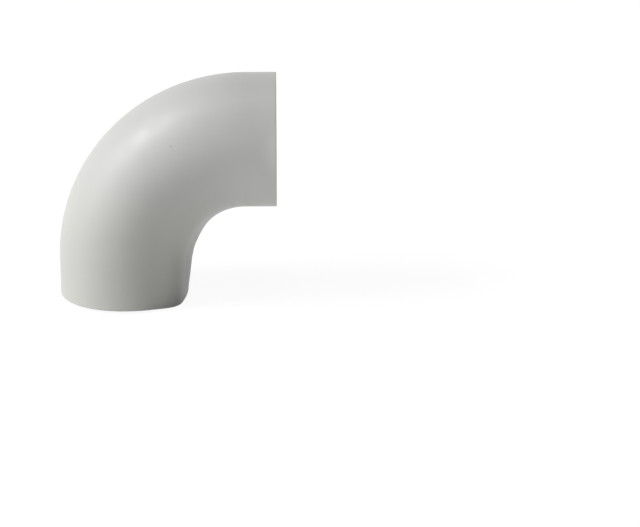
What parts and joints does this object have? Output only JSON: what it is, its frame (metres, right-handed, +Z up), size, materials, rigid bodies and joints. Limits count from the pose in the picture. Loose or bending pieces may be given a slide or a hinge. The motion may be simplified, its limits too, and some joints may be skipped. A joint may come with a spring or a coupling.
{
  "type": "pvc handrail bend cover",
  "caption": "One-piece 90 degree bend of thin grey PVC sheet that closes round the corner of a round handrail, with a flap lapped over the inner edge along the throat.",
  "frame": {"origin": "centre of the lower mouth, in the plane of its cut edge", "axes": "+Z up the lower leg, +X out of the upper mouth, -Y the front, where the flap stands a little off the rail"},
  "size_m": [0.0845, 0.051, 0.0865],
  "materials": {
    "pvc_sheet": "satin light grey, smooth on both faces"
  },
  "bodies": {
    "root": {"bend_cover": "pvc_sheet"}
  },
  "joints": []
}
